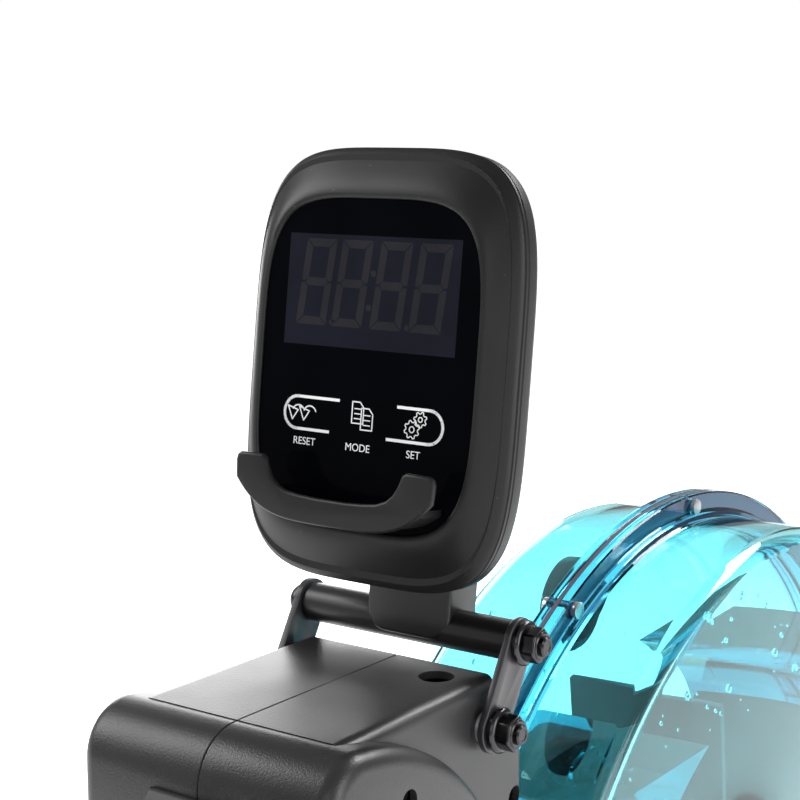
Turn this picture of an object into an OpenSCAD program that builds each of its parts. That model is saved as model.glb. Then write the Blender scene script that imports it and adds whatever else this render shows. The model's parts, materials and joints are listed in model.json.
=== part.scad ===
// Water rowing machine: upright water drum, strap drive, sliding seat and a folding console.
// +Z is up, +Y points from the seat to the drum, and the floor is z = 0.

/* [Console pivot] */
// Height of the pivot that the console tilts on
pivot_z = 600; // [596:1:606]
// Place of that pivot along the machine
pivot_y = 480; // [478:1:482]
// Lean of the console away from the rower, in degrees
console_lean = 7.1; // [4:0.1:9]
// Diameter of the two pivot bolts
bolt_d = 8; // [8:1:8]

/* [Console] */
// Half of the console's width
console_a = 62.8; // [60:0.1:64]
// Half of the console's height
console_b = 84; // [80:0.5:86]
// Exponent of the rounded outline
console_e = 4.2; // [3:0.1:6]
// Half of the glass width
glass_a = 50.5; // [45:0.5:52]
// Half of the glass height
glass_b = 62.9; // [56:0.1:64]

/* [Water drum] */
// Height of the drum's axle
tank_z = 371; // [369:1:372]
// Outer radius of the drum's wall
tank_r = 227; // [222:1:228]
// Outer radius of the bolted flange
flange_r = 240; // [238:1:241]
// Half of the drum's thickness
tank_half = 58; // [54:1:58]
// Height of the water surface
water_z = 510; // [440:5:520]
// Number of screws round the flange
flange_screw_count = 12; // [8:2:16]

/* [Housing] */
// Half of the housing's width
box_half = 47; // [46:0.5:48]
// Half of the width across the nose
nose_half = 58; // [54:1:60]
// Radius of the broad fall at the back of the nose (mm)
nose_fall = 105; // [100:1:110]
// Wall of the housing
wall = 3; // [2:0.5:3]

/* [Rail and seat] */
// Height of the rail's top below the middle of the machine
rail_top = 325; // [310:1:330]
// Slope of the rail, in degrees
rail_slope = 1.2; // [0.8:0.1:1.5]
// Width of the rail
rail_w = 60; // [60:1:60]
// Height of the rail
rail_h = 60; // [56:1:62]
// Seat travel
seat_travel = 780; // [700:10:790]
// Width of the seat
seat_w = 300; // [260:5:330]
// Length of the seat
seat_l = 236; // [220:2:250]

/* [Feet] */
// Length of the front crosspiece between its caps
front_bar = 440; // [400:10:520]
// Length of the rear crosspiece between its caps
rear_bar = 400; // [360:10:480]
// Radius of the transport wheels
wheel_r = 33; // [30:1:34]

/* [Foot plates] */
// Angle of the foot plates, in degrees
plate_tilt = 45; // [42:1:48]
// Length of a foot plate
plate_len = 280; // [270:2:290]
// Width of a foot plate
plate_w = 116; // [110:2:120]

/* [Strap drive] */
// Width of the strap
strap_w = 25; // [20:1:25]
// Thickness of the strap
strap_t = 1.2; // [1:0.1:1.4]
// Radius of the guide pulley
guide_r = 30; // [30:1:30]
// Radius of the drive pulley
drive_r = 50; // [46:1:52]
// Radius of the impeller pulley
driven_r = 28; // [26:1:30]
// Number of impeller blades
blade_count = 6; // [4:1:8]

/* [Hidden] */
$fn = 64;
fit = 0.1;                      // running clearance on a diameter
tank_y = pivot_y + 231;
tank_gap_r = flange_r + 8;      // housing and plates keep this far from the drum's axle
tank_wall = 4;
flange_t = 5;
spin_r = 150;                   // radius swept by the impeller
nose_y = pivot_y - 77;
nose_z = pivot_z - 77;          // guide pulley axle
barrel_y = pivot_y - 79;        // middle of the nose barrel
barrel_z = pivot_z - 79.5;
box_top = pivot_z - 12;
spool_y = nose_y + guide_r - 25;
spool_z = 400;
spool_core = 20;
roll_r = 25;
strap_z = nose_z + guide_r + 0.3;
handle_y = nose_y - 103;
handle_z = strap_z + strap_t / 2;
handle_bend = 12;
handle_r = 11;
elbow_r = 60;                   // bend radius of the handle tube
elbow_back = elbow_r * tan(handle_bend / 2);
elbow_x = 70 - elbow_back;
low_y = pivot_y - 17.5;         // lower link bolt
low_z = pivot_z - 30;
link_len = sqrt(pow(pivot_y - low_y, 2) + pow(pivot_z - low_z, 2));
link_in = 49.8;
link_t = 3;
link_w = 19;
plate_x = 30;                   // inner faces of the upright plates
plate_t = 4;
beam_z = 70;
beam_h = 50;
bar_h = 40;
bar_w = 60;
front_y = 870;
rear_y = -960;
wheel_y = 1000 - wheel_r;
wheel_x = 192;
post_y = -930;
rail_rear = -988;
rail_front = 430;
roller_r = 18;
roller_y = 75;
foot_x = 62;                    // inner edge of a foot plate
foot_y = 240;
foot_z = 250;
bar_y = 307;
bar_z = 232;
belt_x0 = -90;
belt_x1 = -76;
cover_x = -70.5;
boss_r = 38;                    // drum that joins the belt cover to the housing

// ---- helpers ----

module box(x0, x1, y0, y1, z0, z1) translate([x0, y0, z0]) cube([x1 - x0, y1 - y0, z1 - z0]);

// Cylinder along X through (y, z)
module rod(y, z, r, x0, x1) translate([x0, y, z]) rotate([0, 90, 0]) cylinder(h = x1 - x0, r = r);

// Outline in the Y-Z plane, drawn out along X
module side_slab(x0, x1, points)
  translate([x0, 0, 0]) rotate([90, 0, 90]) linear_extrude(x1 - x0) polygon(points);

// Outline in the X-Z plane, drawn out along Y
module front_slab(y0, y1, points)
  translate([0, y1, 0]) rotate([90, 0, 0]) linear_extrude(y1 - y0) polygon(points);

// Profile of (radius, x) points turned round the drum's axle
module drum_turn(points)
  translate([0, tank_y, tank_z]) rotate([0, 90, 0]) rotate_extrude($fn = 120) polygon(points);

module both() {
  children();
  mirror([1, 0, 0]) children();
}

function arc(cx, cy, r, a0, a1, n = 6) =
  [for (i = [0:n]) let (a = a0 + (a1 - a0) * i / n) [cx + r * cos(a), cy + r * sin(a)]];

function round_rect(x0, x1, y0, y1, r) = concat(
  arc(x1 - r, y1 - r, r, 0, 90), arc(x0 + r, y1 - r, r, 90, 180),
  arc(x0 + r, y0 + r, r, 180, 270), arc(x1 - r, y0 + r, r, 270, 360));

function squircle(a, b, cy, n = 72) =
  [for (i = [0:n - 1]) let (c = cos(360 * i / n), s = sin(360 * i / n))
    [a * sign(c) * pow(abs(c), 2 / console_e), cy + b * sign(s) * pow(abs(s), 2 / console_e)]];

// ---- feet and beam ----

module cross_bar(y0, length) difference() {
  box(-length / 2, length / 2, y0, y0 + bar_w, 30, 30 + bar_h);
  box(-length / 2 - 1, length / 2 + 1, y0 + 2.5, y0 + bar_w - 2.5, 32.5, 27.5 + bar_h);
}

module wheel_lugs() for (x = [wheel_x - 16, wheel_x + 12])
  difference() {
    side_slab(x, x + 4, [[front_y + bar_w, 32], [wheel_y + 10, 32], [wheel_y + 10, 50],
      [front_y + bar_w, 68]]);
    rod(wheel_y, 41, (bolt_d + fit) / 2, x - 1, x + 5);
  }

module front_stabilizer() color("dimgray") {
  cross_bar(front_y, front_bar);
  both() wheel_lugs();
}

module rear_stabilizer() color("dimgray") cross_bar(rear_y, rear_bar);

// Plastic cap on the tube's end with a foot that reaches under the tube
module foot_cap(y0, length) both() {
  box(length / 2, length / 2 + 24, y0 - 5, y0 + bar_w + 5, 0, 74);
  box(length / 2 - 34, length / 2, y0 - 5, y0 + bar_w + 5, 0, 30);
}

module front_caps() color("#202224") foot_cap(front_y, front_bar);

module rear_caps() color("#202224") foot_cap(rear_y, rear_bar);

module wheel() difference() {
  union() {
    rod(wheel_y, 41, wheel_r - 2, wheel_x - 11, wheel_x + 11);
    rod(wheel_y, 41, wheel_r, wheel_x - 8, wheel_x + 8);
  }
  rod(wheel_y, 41, (bolt_d + fit) / 2, wheel_x - 12, wheel_x + 12);
}

module wheel_right() color("#2b2c2e") wheel();

module wheel_left() color("#2b2c2e") mirror([1, 0, 0]) wheel();

module wheel_axles() color("silver") both() {
  rod(wheel_y, 41, bolt_d / 2, wheel_x - 21, wheel_x + 16);
  rod(wheel_y, 41, 7, wheel_x + 16, wheel_x + 21);
  rod(wheel_y, 41, 7, wheel_x - 22, wheel_x - 16.2);
}

module main_beam() color("#26282a") difference() {
  box(-plate_x, plate_x, 372, front_y + bar_w, beam_z, beam_z + beam_h);
  box(-plate_x + 3, plate_x - 3, 371, front_y + bar_w - 3, beam_z + 3, beam_z + beam_h - 3);
}

module rear_post() color("#26282a") difference() {
  box(-25, 25, post_y - 25, post_y + 25, 30 + bar_h, 300);
  on_rail() box(-40, 40, -1100, 0, -rail_h, 80);
  box(-22, 22, post_y - 22, post_y + 22, 76, 270);
}

// ---- upright plates and their axles ----

module pylon() color("#303234") both() difference() {
  union() {
    side_slab(plate_x, plate_x + plate_t, [[372, beam_z], [505, beam_z], [505, 150],
      [457, 260], [453, 450], [low_y + 9.5, low_z - 34], [low_y + 9.5, low_z],
      [low_y - 9.5, low_z], [438, nose_z + 24], [380, nose_z + 24], [372, nose_z - 22]]);
    rod(low_y, low_z, 9.5, plate_x, plate_x + plate_t);
  }
  rod(low_y, low_z, 6.5 + fit / 2, plate_x - 1, plate_x + plate_t + 1);
  rod(nose_y, nose_z, 6 + fit / 2, plate_x - 1, plate_x + plate_t + 1);
  rod(spool_y, spool_z, (15 + fit) / 2, plate_x - 1, plate_x + plate_t + 1);
}

// Guide pulley axle and the sleeve that the lower link bolt runs in
module pylon_axles() color("silver") {
  rod(nose_y, nose_z, 6, -plate_x - 8, plate_x + 8);
  difference() {
    rod(low_y, low_z, 6.5, -link_in + 0.3, link_in - 0.3);
    rod(low_y, low_z, (bolt_d + fit) / 2, -60, 60);
  }
}

// ---- rail ----

module on_rail() translate([0, 0, rail_top]) rotate([-rail_slope, 0, 0]) children();

module rail() color("silver") on_rail() difference() {
  union() {
    box(-rail_w / 2, rail_w / 2, rail_rear, rail_front, -8, 0);
    box(-20, 20, rail_rear, rail_front, -rail_h + 8, -8);
    box(-rail_w / 2, rail_w / 2, rail_rear, rail_front, -rail_h, -rail_h + 8);
  }
  box(-17, 17, rail_rear - 1, rail_front + 1, -rail_h + 4, -4);
}

module rail_end_cap() color("#202224") on_rail() difference() {
  box(-34, 34, -998.9, rail_rear + 28, -rail_h - 4, 4);
  box(-rail_w / 2, rail_w / 2, rail_rear, rail_rear + 29, -rail_h, 0);
}

module rail_stops() color("#1b1b1c") on_rail() {
  box(-24, 24, 110.3, 130, 0, 26);
  box(-24, 24, -seat_travel - 130, -seat_travel - 110.3, 0, 26);
}

// ---- foot plates: drawn lying flat about their middle, then tilted ----

module on_foot() translate([0, foot_y, foot_z]) rotate([plate_tilt, 0, 0]) children();

module footplate() difference() {
  union() {
    on_foot() linear_extrude(8) translate([foot_x + plate_w / 2, 0])
      polygon(round_rect(-plate_w / 2, plate_w / 2, -plate_len / 2, plate_len / 2, 18));
    // ribs down to the crossbar
    for (x = [foot_x + 20, foot_x + plate_w - 34])
      side_slab(x, x + 14, [[bar_y - 52, bar_z + 30], [bar_y - 18, bar_z - 4],
        [bar_y - 16, bar_z - 16], [bar_y + 16, bar_z - 16], [bar_y + 22, bar_z + 14],
        [bar_y + 16, bar_z + 88]]);
  }
  rod(bar_y, bar_z, 15, foot_x, foot_x + plate_w);
}

module footplate_right() color("#242628") footplate();

module footplate_left() color("#242628") mirror([1, 0, 0]) footplate();

module heel_cup() on_foot() {
  box(foot_x + 14, foot_x + plate_w - 14, -119, 40, 8.3, 12.3);
  front_slab(-122, -117, [[foot_x + 13, 8.3], [foot_x + plate_w - 13, 8.3],
    [foot_x + plate_w - 13, 52], [foot_x + plate_w - 24, 64], [foot_x + plate_w / 2, 70],
    [foot_x + 24, 64], [foot_x + 13, 52]]);
  for (x = [foot_x + 12, foot_x + plate_w - 16])
    side_slab(x, x + 4, [[-121, 8.3], [-30, 8.3], [-60, 22], [-104, 46], [-121, 58]]);
}

module heel_cup_right() color("#3a3d40") heel_cup();

module heel_cup_left() color("#3a3d40") mirror([1, 0, 0]) heel_cup();

// Webbing that arches over each foot and ends on the plate's edges
module foot_straps() color("#161718") both() on_foot() difference() {
  front_slab(44, 82, strap_arch(0));
  front_slab(43, 83, strap_arch(2));
}

function strap_arch(inset) = let (w = plate_w - 4 - 2 * inset, x0 = foot_x + 2 + inset)
  concat([for (i = [0:16]) let (a = 180 - 180 * i / 16)
    [x0 + w / 2 + w / 2 * cos(a) * (1 - 0.12 * sin(a)), 8 - inset / 20 + (66 - inset) * sin(a)]],
    [[x0 + w, 8 - inset / 20]]);

module foot_crossbar() color("#26282a") {
  rod(bar_y, bar_z, 15, -foot_x - plate_w + 6, foot_x + plate_w - 6);
  difference() {
    box(-22, 22, bar_y - 12, bar_y + 12, bar_z, 280);
    on_rail() box(-40, 40, 0, 420, -rail_h, 80);
  }
}

// ---- housing ----

// Solid form of the housing, drawn in by an inset
module housing_form(x0, x1, inset) difference() {
  union() {
    side_slab(x0, x1, [[pivot_y - 9, box_top - inset], [374, box_top - inset],
      [365 + inset, barrel_z - 50], [360 + inset, beam_z + 6 - 2 * inset], [530 - inset, beam_z + 6 - 2 * inset],
      [530 - inset, 182], [pivot_y + 12 - inset, 262], [pivot_y + 12 - inset, pivot_z - 47],
      [pivot_y - 9 - inset / 2, box_top - inset]]);
  }
  rod(tank_y, tank_z, tank_gap_r + inset, x0 - 1, x1 + 1);
}

// Side view of the wider nose: upright front, tight upper corner, broad fall to the back
function turn(y, z, r, from, to, step) = [for (a = [from : step : to]) [y + r * cos(a), z + r * sin(a)]];
function nose_side(inset) = concat([[352 + inset, 450]], turn(372, 567.9, 20 - inset, 180, 90, -15),
  turn(365, box_top - 0.1 - nose_fall, nose_fall - inset, 80, 20, -6), turn(407.3, 498.4, 60 - inset, 10, -90, -10),
  [[364, 438.4 + inset]]);

// One half, drawn on the +X side
module housing_half() difference() {
  union() {
    housing_form(0, box_half, 0);
    side_slab(0, nose_half, nose_side(0));
  }
  difference() {
    union() {
      housing_form(-1, box_half - wall, wall);
      side_slab(-1, nose_half - wall, nose_side(wall));
    }
    screw_bosses();
    // stiffening rib under the top
    box(18, 20.5, 395, 455, box_top - 14, box_top);
  }
  // rail, beam, sleeve and strap mouth
  box(-1, plate_x + 0.6, 515, 540, beam_z - 1, beam_z + beam_h + 0.6);
  on_rail() box(-1, rail_w / 2 + 0.5, 300, 372, -rail_h - 1, 1);
  rod(low_y, low_z, 7, 0, 60);
  box(-1, 22, 325, 362, strap_z - 11, strap_z + 12);
  for (p = screw_points) rod(p[0], p[1], 4.6, screw_face(p), 70);
}

screw_points = [[pivot_y + 5.3, pivot_z - 65.5], [nose_y - 3, pivot_z - 37], [518, 152]];

function screw_face(p) = (p[1] > 540 ? nose_half : box_half) - 6;

module screw_bosses() for (p = screw_points)
  rod(p[0], p[1], 5.5, 0, screw_face(p) + 4);

module shroud_right() color("#3a3b3d") difference() {
  housing_half();
  translate([29, pivot_y - 23.5, box_top - 10]) cylinder(h = 20, d = 14);
  for (p = screw_points) rod(p[0], p[1], 2.1, -1, 60);
}

module shroud_left() color("#3a3b3d") mirror([1, 0, 0]) difference() {
  housing_half();
  rod(spool_y, spool_z, 12, 40, 60);
  for (p = screw_points) rod(p[0], p[1], 2.1, -1, 60);
}

module shroud_screws() color("#515356") for (p = screw_points) {
  rod(p[0], p[1], 2, -24, screw_face(p));
  rod(p[0], p[1], 4.3, screw_face(p), screw_face(p) + 2.6);
}

module strap_mouth() color("#17181a") difference() {
  side_slab(-21.8, 21.8, [[338, strap_z - 10.8], [361, strap_z - 10.8],
    [361, strap_z + 11.8], [350, strap_z + 11.8], [342, strap_z + 1]]);
  box(-strap_w / 2 - 2, strap_w / 2 + 2, 330, 370, strap_z - 3, strap_z + strap_t + 3);
}

// ---- strap drive ----

module guide_pulley() color("#d8d9d6") difference() {
  union() {
    rod(nose_y, nose_z, guide_r, -14, 14);
    for (x = [-16, 14]) rod(nose_y, nose_z, guide_r + 4, x, x + 2);
  }
  rod(nose_y, nose_z, 6 + fit / 2, -20, 20);
}

module spool() color("#d8d9d6") difference() {
  union() {
    rod(spool_y, spool_z, spool_core, -20, 20);
    for (x = [-20, 17]) rod(spool_y, spool_z, 34, x, x + 3);
  }
  rod(spool_y, spool_z, (15 + fit) / 2, -30, 30);
}

module strap_roll() color("#141516") difference() {
  rod(spool_y, spool_z, roll_r, -strap_w / 2, strap_w / 2);
  rod(spool_y, spool_z, spool_core, -30, 30);
}

// Free run: in from the handle, a quarter turn on the guide pulley and down to the roll
module drive_strap() color("#141516") side_slab(-strap_w / 2, strap_w / 2, concat(
  [[handle_y + 38, strap_z]],
  arc(nose_y, nose_z, guide_r + 0.3, 90, 0, 16), [[nose_y + guide_r + 0.3, spool_z]],
  [[nose_y + guide_r + 0.3 + strap_t, spool_z]],
  arc(nose_y, nose_z, guide_r + 0.3 + strap_t, 0, 90, 16), [[handle_y + 38, strap_z + strap_t]]));

module drive_axle() color("silver") rod(spool_y, spool_z, 7.5, -94, plate_x + 8);

module grooved_pulley(y, z, r, bore) difference() {
  rod(y, z, r, belt_x0, belt_x1);
  rod(y, z, bore, belt_x0 - 1, belt_x1 + 1);
}

module drive_pulley() color("#b9bbbd") grooved_pulley(spool_y, spool_z, drive_r, 7.5);

module impeller_pulley() color("#b9bbbd") grooved_pulley(tank_y, tank_z, driven_r, 7.5);

module belt_loop(grow, x0, x1) hull() {
  rod(spool_y, spool_z, drive_r + grow, x0, x1);
  rod(tank_y, tank_z, driven_r + grow, x0, x1);
}

module drive_belt() color("#1a1a1b") difference() {
  belt_loop(3.4, belt_x0 + 1, belt_x1 - 1);
  belt_loop(0.3, belt_x0, belt_x1);
}

// Closed case round the belt, with a hole for each axle in its inner wall
module belt_cover() color("#3a3b3d") difference() {
  union() {
    belt_loop(11, -98, cover_x);
    rod(spool_y, spool_z, boss_r, cover_x - 1, -box_half - 0.1);
  }
  belt_loop(8, -95, cover_x - wall);
  rod(spool_y, spool_z, 12, cover_x - wall - 1, cover_x + wall);
  rod(spool_y, spool_z, boss_r - wall, cover_x + 1, 0);
  rod(tank_y, tank_z, 27, cover_x - wall - 1, cover_x + 1);
}

// ---- water drum ----

// Half shell: flange, wall, rounded shoulder, flat side and hub, as (radius, x)
module tank_half_shell() {
  drum_turn(concat([[flange_r, 1], [flange_r, 1 + flange_t], [tank_r, 1 + flange_t]],
    arc(tank_r - 9, tank_half - 9, 9, 0, 90), [[32, tank_half], [32, 65.8], [25, 65.8],
    [25, 72], [(15 + fit) / 2, 72], [(15 + fit) / 2, tank_half - 12], [20, tank_half - 12],
    [20, tank_half - tank_wall]], arc(tank_r - 9, tank_half - 9, 9 - tank_wall, 90, 0),
    [[tank_r - tank_wall, 1]]));
}

module flange_holes(r, x0, x1) for (i = [0:flange_screw_count - 1])
  let (a = 28 + 360 * i / flange_screw_count)
    rod(tank_y + 234 * cos(a), tank_z + 234 * sin(a), r, x0, x1);

module tank_right() color("#7fe9f4", 0.5) difference() {
  tank_half_shell();
  flange_holes(2.1, 0, 10);
}

module tank_left() color("#7fe9f4", 0.5) mirror([1, 0, 0]) difference() {
  tank_half_shell();
  flange_holes(2.1, 0, 10);
  rod(tank_y, tank_z + 175, 18, tank_half - 6, tank_half + 1);
}

module tank_seal() color("#0a5a96") difference() {
  drum_turn([[tank_r - tank_wall, -1], [flange_r, -1], [flange_r, 1], [tank_r - tank_wall, 1]]);
  flange_holes(2.1, -2, 2);
}

module flange_screws() color("#8f9499") {
  flange_holes(2, -8, 6);
  flange_holes(4.2, 6, 9);
  flange_holes(3.8, -9.5, -6);
}

module tank_water() color("#0d4f86", 0.6) difference() {
  rod(tank_y, tank_z, tank_r - tank_wall - 1, -tank_half + 6, tank_half - 6);
  rod(tank_y, tank_z, spin_r + 4, -60, 60);
  box(-70, 70, tank_y - 240, tank_y + 240, water_z, 700);
}

module impeller_shaft() color("silver") rod(tank_y, tank_z, 7.5, -94, 68);

module impeller() color("#23343c") difference() {
  union() {
    rod(tank_y, tank_z, 28, -40, 40);
    for (i = [0:blade_count - 1]) translate([0, tank_y, tank_z]) rotate([360 * i / blade_count + 12, 0, 0])
      box(-42, 42, -2, 2, 20, spin_r);
  }
  rod(tank_y, tank_z, 7.5, -50, 50);
}

module fill_plug() color("#1f2123") mirror([1, 0, 0]) {
  rod(tank_y, tank_z + 175, 17.6, tank_half - 5, tank_half);
  rod(tank_y, tank_z + 175, 23, tank_half + 0.3, tank_half + 7);
  rod(tank_y, tank_z + 175, 17.6, tank_half - 1, tank_half + 1);
}

// Bent plate under the drum with an ear at each end of the axle
module tank_cradle() color("#303234") difference() {
  union() {
    box(-70, 70, tank_y - 40, tank_y + 40, beam_z + beam_h, beam_z + beam_h + 6);
    both() {
      box(66, 70, tank_y - 40, tank_y + 40, beam_z + beam_h, tank_z);
      rod(tank_y, tank_z, 40, 66, 70);
    }
  }
  rod(tank_y, tank_z, 25 + fit / 2, -80, 80);
}

// ---- handle ----

module handle_arm(r, from, to) translate([70, handle_y, handle_z]) rotate([0, 90, -handle_bend])
  translate([0, 0, from]) cylinder(h = to - from, r = r);

// Tube with a short bend each side of the clip
module handle_bar() color("#2a2c2e") {
  rod(handle_y, handle_z, handle_r, -elbow_x, elbow_x);
  both() {
    translate([elbow_x, handle_y - elbow_r, handle_z]) rotate([0, 0, 90 - handle_bend])
      rotate_extrude(angle = handle_bend) translate([elbow_r, 0]) circle(r = handle_r);
    handle_arm(handle_r, elbow_back, 166);
  }
}

module handle_grips() color("#151617") both() difference() {
  union() {
    handle_arm(16, 28, 168);
    handle_arm(17.5, 166, 172);
  }
  handle_arm(handle_r, 20, 166);
}

module handle_clip() color("#3c3f42") difference() {
  union() {
    rod(handle_y, handle_z, 15, -16, 16);
    box(-16, 16, handle_y, handle_y + 38, handle_z - 7, handle_z + 7);
  }
  rod(handle_y, handle_z, handle_r, -20, 20);
}

// ---- seat, drawn on the rail with its middle at the front of its travel ----

module seat_frame() color("#303234") on_rail() difference() {
  union() {
    box(-40, 40, -110, 110, 38, 41);
    both() {
      box(36, 40, -110, 110, -14, 38);
      box(24, 36, -100, 100, -14, -9);
    }
    for (y = [-110, 107]) box(-36, 36, y, y + 3, 4, 38);
  }
  for (y = [-roller_y, roller_y]) rod(y, roller_r + 0.2, 5 + fit / 2, -41, 41);
}

module roller_pair(y) on_rail() {
  both() rod(y, roller_r + 0.2, roller_r, 9, 27);
  rod(y, roller_r + 0.2, 5, -40, 40);
}

module roller_front() color("#e3e4e0") roller_pair(roller_y);

module roller_rear() color("#e3e4e0") roller_pair(-roller_y);

module seat_base() color("#1d1e20") on_rail() translate([0, 0, 41]) linear_extrude(8)
  polygon(round_rect(-seat_w / 2 + 8, seat_w / 2 - 8, -seat_l / 2 + 8, seat_l / 2 - 8, 50));

module seat_cushion() color("#17181a") on_rail() translate([0, 0, 49]) difference() {
  linear_extrude(42) polygon(round_rect(-seat_w / 2, seat_w / 2, -seat_l / 2, seat_l / 2, 56));
  translate([0, -seat_l / 2 - 6, 20]) cylinder(h = 40, r = 26);
}

// ---- console: drawn with the glass face at y = 0 and heights up the glass ----

module on_console() translate([0, pivot_y - 43, pivot_z]) rotate([-console_lean, 0, 0]) children();

axle_y = 43 * cos(console_lean);
axle_z = 43 * sin(console_lean);
console_mid = 107;
glass_mid = 107.85;
seam_y = 10;

module console_bezel() color("#2e2f31") on_console() difference() {
  front_slab(-2, seam_y, squircle(console_a, console_b, console_mid));
  front_slab(-3, 2, squircle(glass_a + 0.1, glass_b + 0.1, glass_mid));
  front_slab(1, 6, squircle(glass_a - 4, glass_b - 4, glass_mid));
  front_slab(5, 11, squircle(console_a - 3, console_b - 3, console_mid));
}

module console_rear() color("#2e2f31") on_console() {
  difference() {
    front_slab(seam_y, 22, squircle(console_a, console_b, console_mid));
    front_slab(seam_y - 1, 19, squircle(console_a - 3, console_b - 3, console_mid));
  }
  box(-14, 18, 22, axle_y - 8, 92, 124);
}

module console_glass() color("#07080b") on_console()
  front_slab(0, 2, squircle(glass_a, glass_b, glass_mid));

module display_board() color("#3b4a44") on_console() {
  box(-38, 38, 2.1, 6, 113, 155);
  box(-46, 46, 6, 7.6, 55, 160);
}

function lip_low(x) = 46.5 + 14.5 * pow(abs(x) / 46.5, 4);
horn = [[46.3, 62.5], [46.6, 67.6], [46, 69.6], [44.4, 70.6], [34, 70.8]];
inner_wall = [[32.2, 69.6], [31.4, 67.6], [30.3, 65], [28.4, 62], [25.6, 59.6], [21.5, 58], [15, 57.2], [7, 56.8]];

function mirrored(points) = [for (i = [len(points) - 1 : -1 : 0]) [-points[i][0], points[i][1]]];

module phone_cradle() color("#27282a") on_console() {
  front_slab(-17, -14, concat([for (i = [-12:12]) let (x = 46 * i / 12) [x, lip_low(x)]],
    horn, inner_wall, mirrored(inner_wall), mirrored(horn)));
  front_slab(-14, 0, concat([for (i = [-12:12]) let (x = 40 * i / 12) [x, lip_low(x)]],
    [for (i = [-12:12]) let (x = -40 * i / 12) [x, lip_low(x) + 2.6]]));
}

// Rectangular tube welded round the cross tube, set 3.6 mm to the right
module neck() color("#1e1f21") difference() {
  union() {
    on_console() front_slab(axle_y - 8, axle_y + 12,
      round_rect(-16.4, 23.6, axle_z - 4.7, 132, 9));
    rod(pivot_y, pivot_z, 8, -link_in + 0.3, link_in - 0.3);
  }
  rod(pivot_y, pivot_z, (bolt_d + fit) / 2, -60, 60);
}

// ---- links and pivot bolts ----

module link_plate() difference() {
  union() {
    rod(pivot_y, pivot_z, link_w / 2, link_in, link_in + link_t);
    rod(low_y, low_z, link_w / 2, link_in, link_in + link_t);
    translate([link_in, low_y, low_z]) rotate([-atan2(pivot_y - low_y, pivot_z - low_z), 0, 0])
      translate([0, -link_w / 2 + 0.3, 0]) cube([link_t, link_w - 0.6, link_len]);
  }
  rod(pivot_y, pivot_z, (bolt_d + fit) / 2, 40, 60);
  rod(low_y, low_z, (bolt_d + fit) / 2, 40, 60);
}

module link_right() color("#1e1f21") link_plate();

module link_left() color("#1e1f21") mirror([1, 0, 0]) link_plate();

// Domed bolt, two washers and a lock nut
module pivot_set(y, z, gap) {
  x0 = link_in + link_t + gap;
  rod(y, z, bolt_d / 2, -x0 - 1.6, x0 + 11.6);
  for (x = [-x0 - 1.6, x0]) difference() {
    rod(y, z, 8, x, x + 1.6);
    rod(y, z, bolt_d / 2, x - 1, x + 3);
  }
  difference() {
    translate([x0 + 1.6, y, z]) rotate([0, 90, 0]) rotate([0, 0, 17]) cylinder(h = 8, r = 7.5, $fn = 6);
    rod(y, z, bolt_d / 2, x0, x0 + 12);
  }
  translate([-x0 - 1.6, y, z]) rotate([0, -90, 0]) intersection() {
    cylinder(h = 5, r = 7);
    translate([0, 0, -4]) sphere(r = 9);
  }
}

module upper_pivot() color("#55585c") pivot_set(pivot_y, pivot_z, 0);

module lower_pivot() color("#55585c") pivot_set(low_y, low_z, 0.3);

front_stabilizer();
front_caps();
wheel_left();
wheel_right();
wheel_axles();
main_beam();
pylon();
pylon_axles();
rear_stabilizer();
rear_caps();
rear_post();
rail();
rail_end_cap();
rail_stops();
foot_crossbar();
footplate_left();
footplate_right();
heel_cup_left();
heel_cup_right();
foot_straps();
shroud_left();
shroud_right();
shroud_screws();
strap_mouth();
guide_pulley();
spool();
strap_roll();
drive_strap();
drive_axle();
drive_pulley();
drive_belt();
impeller_pulley();
belt_cover();
tank_left();
tank_right();
tank_seal();
flange_screws();
impeller_shaft();
impeller();
fill_plug();
tank_water();
tank_cradle();
handle_bar();
handle_grips();
handle_clip();
seat_frame();
seat_base();
seat_cushion();
roller_front();
roller_rear();
console_rear();
console_bezel();
console_glass();
display_board();
phone_cradle();
neck();
link_left();
link_right();
upper_pivot();
lower_pivot();
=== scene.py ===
"""Looks of a water rowing machine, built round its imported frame. Lengths are metres unless noted."""
import json
import math
import random

import bmesh
import bpy
from mathutils import Matrix, Vector

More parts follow.
